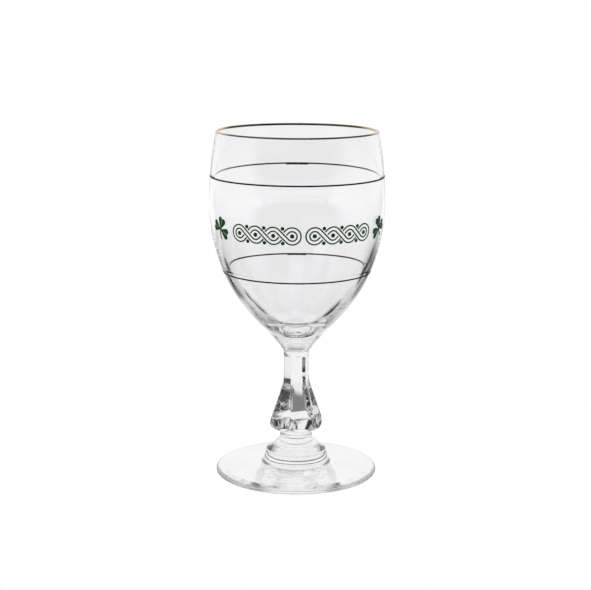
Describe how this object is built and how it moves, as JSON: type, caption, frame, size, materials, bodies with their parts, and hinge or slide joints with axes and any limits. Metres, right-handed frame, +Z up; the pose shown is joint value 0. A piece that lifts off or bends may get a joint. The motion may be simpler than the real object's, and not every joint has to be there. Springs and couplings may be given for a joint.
{
  "type": "stemmed hot drink goblet",
  "caption": "Clear glass goblet for hot coffee with cream, with a panelled stem, a round foot, a gilt lip, painted lines, clovers and an interlace band.",
  "frame": {"origin": "centre of the resting ring under the foot, on the surface that the glass stands on", "axes": "+Z up along the glass's axis, -Y out of the printed front, +X to the right of someone who faces that front"},
  "size_m": [0.0762, 0.0762, 0.152],
  "materials": {
    "clear_glass": "fire polished",
    "gold": "fired gold, slightly worn",
    "black_enamel": "gloss",
    "green_enamel": "gloss"
  },
  "bodies": {
    "root": {"foot": "clear_glass", "stem": "clear_glass", "bowl": "clear_glass", "rim_gilding": "gold", "upper_line": "black_enamel", "lower_line": "black_enamel", "interlace_left": "green_enamel", "interlace_right": "green_enamel", "clover_left": "green_enamel", "clover_right": "green_enamel"}
  },
  "joints": []
}
